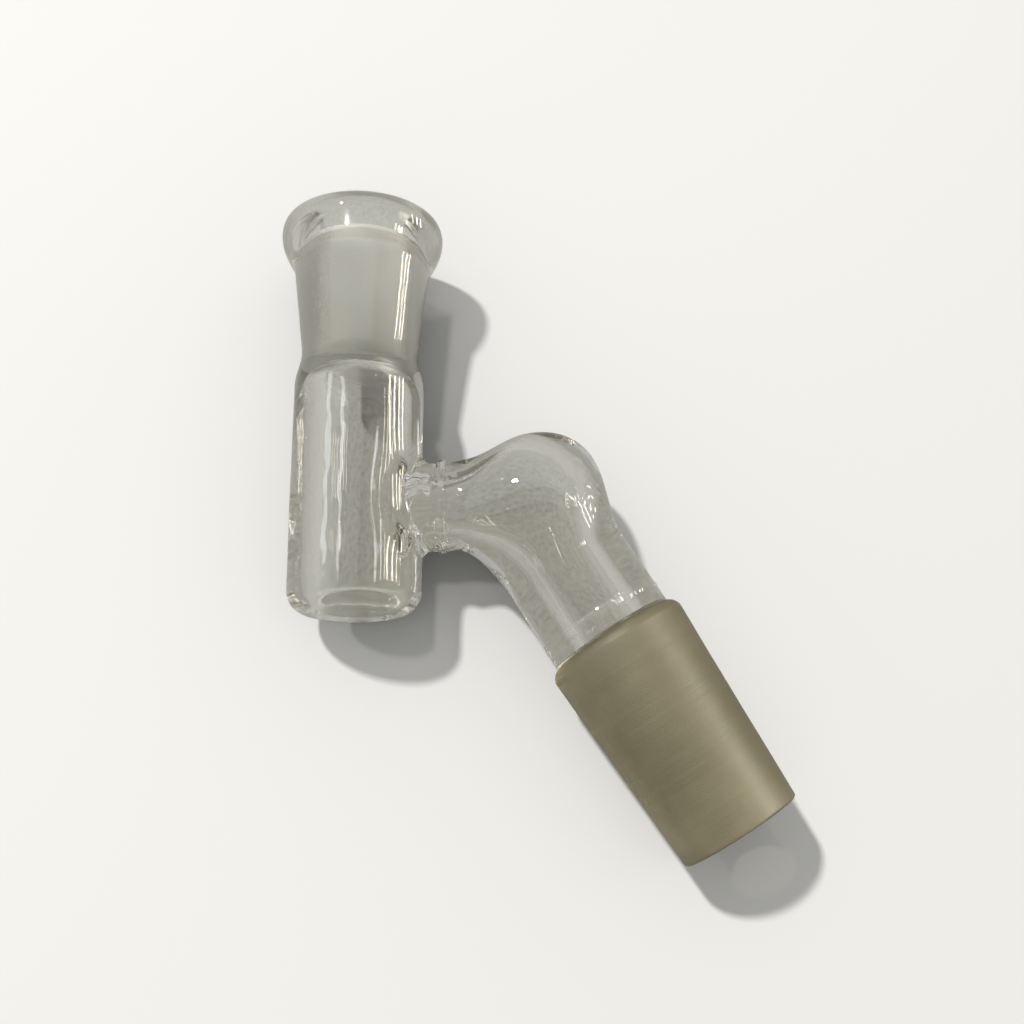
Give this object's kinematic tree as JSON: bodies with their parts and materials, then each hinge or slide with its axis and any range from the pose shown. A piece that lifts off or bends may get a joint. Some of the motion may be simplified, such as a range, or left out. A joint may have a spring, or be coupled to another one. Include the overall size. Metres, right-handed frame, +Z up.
{
  "type": "ground glass trap adapter",
  "caption": "Thick-walled lab glass adapter: ground socket above a closed receiver chamber, a side arm with a swollen knee bend, and a ground cone pointing down and away.",
  "frame": {"origin": "centre of the outer face of the chamber's closed base", "axes": "+Y along the chamber from its base to the socket's mouth; +X towards the side arm and the cone; +Z up, square to the plane of the two bore axes, with the adapter lying on its side"},
  "size_m": [0.0508, 0.067, 0.0172],
  "materials": {
    "clear_glass": "clear, fire-polished, slightly wavy",
    "ground_socket_glass": "clear outside, finely ground bore",
    "ground_cone_glass": "ground all round, silky frosted"
  },
  "bodies": {
    "root": {"socket_rim": "clear_glass", "socket_joint": "ground_socket_glass", "socket_seal_ring": "clear_glass", "chamber_tube": "clear_glass", "chamber_base": "clear_glass", "side_outlet": "clear_glass", "arm_seam_ring": "clear_glass", "arm_tube": "clear_glass", "knee_bend": "clear_glass", "drop_tube": "clear_glass", "cone_seal_ring": "clear_glass", "cone_joint": "ground_cone_glass"}
  },
  "joints": []
}
